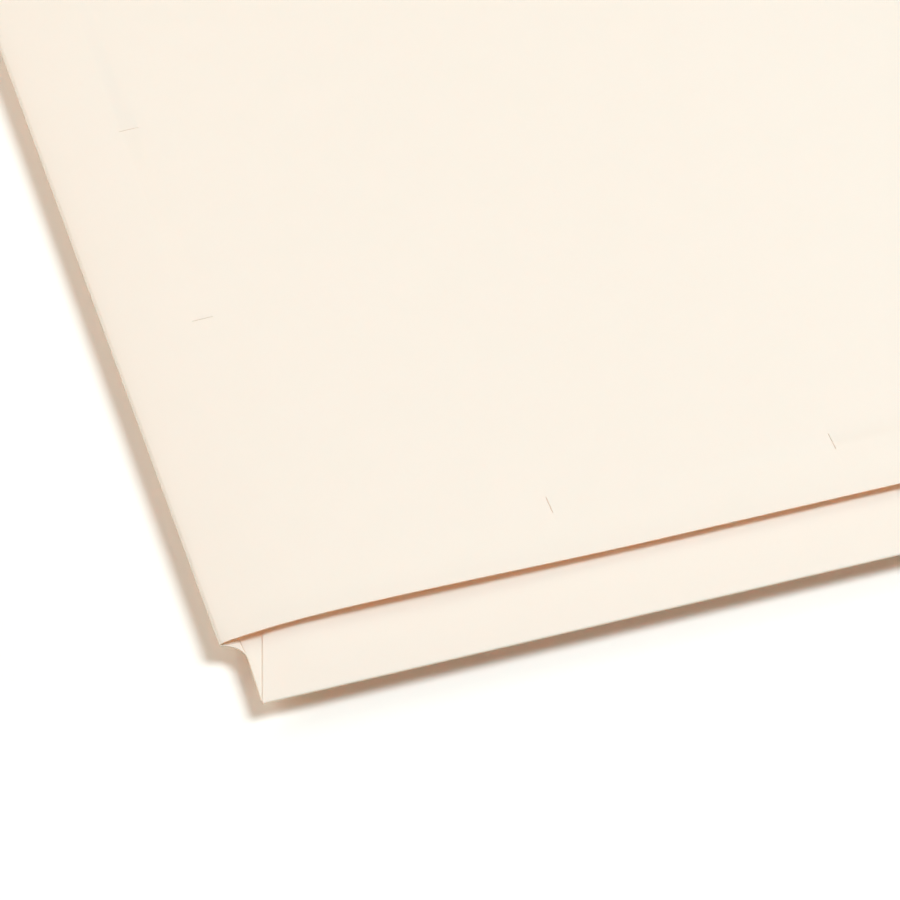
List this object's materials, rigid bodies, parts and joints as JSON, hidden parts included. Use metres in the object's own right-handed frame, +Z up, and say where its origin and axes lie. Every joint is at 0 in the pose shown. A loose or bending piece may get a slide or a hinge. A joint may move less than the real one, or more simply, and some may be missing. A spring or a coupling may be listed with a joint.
{
  "type": "fastener folder",
  "caption": "Letter-size manila end-tab folder, closed, with a two-prong fastener on the inner face of each panel.",
  "frame": {"origin": "middle of the folder's plan, on the surface that it lies on", "axes": "+X from the fold to the open edge, +Y from the tab to the far end, +Z up through the front panel"},
  "size_m": [0.2414, 0.3112, 0.0098],
  "materials": {
    "manila_card": "matt, uncoated, faintly fibrous",
    "bond_paper": "matt paper tape",
    "tinplate": "bright tinplate, satin"
  },
  "bodies": {
    "back_folder": {"back_panel": "manila_card", "back_spine_strip": "manila_card", "tab_ply": "manila_card", "back_bond_pad": "bond_paper", "back_fastener_base": "tinplate", "back_compressor": "tinplate"},
    "front_cover": {"front_panel": "manila_card", "front_spine_strip": "manila_card", "front_bond_pad": "bond_paper", "front_fastener_base": "tinplate", "front_compressor": "tinplate"},
    "back_fold_prong": {"back_prong_fold_side": "tinplate"},
    "back_open_prong": {"back_prong_open_side": "tinplate"},
    "back_fold_lock": {"back_lock_fold_side": "tinplate"},
    "back_open_lock": {"back_lock_open_side": "tinplate"},
    "front_fold_prong": {"front_prong_fold_side": "tinplate"},
    "front_open_prong": {"front_prong_open_side": "tinplate"},
    "front_fold_lock": {"front_lock_fold_side": "tinplate"},
    "front_open_lock": {"front_lock_open_side": "tinplate"}
  },
  "joints": [
    {"name": "cover_fold", "type": "hinge", "parent": "back_folder", "child": "front_cover", "pos_m": [-0.12065, 0, 0.00643], "axis": [0, -1, 0], "range_deg": [0, 180]},
    {"name": "back_fold_prong_bend", "type": "hinge", "parent": "back_folder", "child": "back_fold_prong", "pos_m": [-0.03492, 0.13908, 0.00145], "axis": [0, -1, 0], "range_deg": [0, 90]},
    {"name": "back_open_prong_bend", "type": "hinge", "parent": "back_folder", "child": "back_open_prong", "pos_m": [0.03492, 0.13908, 0.00145], "axis": [0, 1, 0], "range_deg": [0, 90]},
    {"name": "front_fold_prong_bend", "type": "hinge", "parent": "front_cover", "child": "front_fold_prong", "pos_m": [-0.03492, 0.13908, 0.00713], "axis": [0, 1, 0], "range_deg": [0, 90]},
    {"name": "front_open_prong_bend", "type": "hinge", "parent": "front_cover", "child": "front_open_prong", "pos_m": [0.03492, 0.13908, 0.00713], "axis": [0, -1, 0], "range_deg": [0, 90]},
    {"name": "back_fold_lock_slide", "type": "slide", "parent": "back_folder", "child": "back_fold_lock", "axis": [-1, 0, 0], "range_m": [0, 0.014]},
    {"name": "back_open_lock_slide", "type": "slide", "parent": "back_folder", "child": "back_open_lock", "axis": [1, 0, 0], "range_m": [0, 0.014]},
    {"name": "front_fold_lock_slide", "type": "slide", "parent": "front_cover", "child": "front_fold_lock", "axis": [-1, 0, 0], "range_m": [0, 0.014]},
    {"name": "front_open_lock_slide", "type": "slide", "parent": "front_cover", "child": "front_open_lock", "axis": [1, 0, 0], "range_m": [0, 0.014]}
  ],
  "couplings": [
    {"joint": "back_fold_prong_bend", "follows": "cover_fold", "ratio": 0.5},
    {"joint": "back_open_prong_bend", "follows": "cover_fold", "ratio": 0.5},
    {"joint": "front_fold_prong_bend", "follows": "cover_fold", "ratio": 0.5},
    {"joint": "front_open_prong_bend", "follows": "cover_fold", "ratio": 0.5}
  ]
}
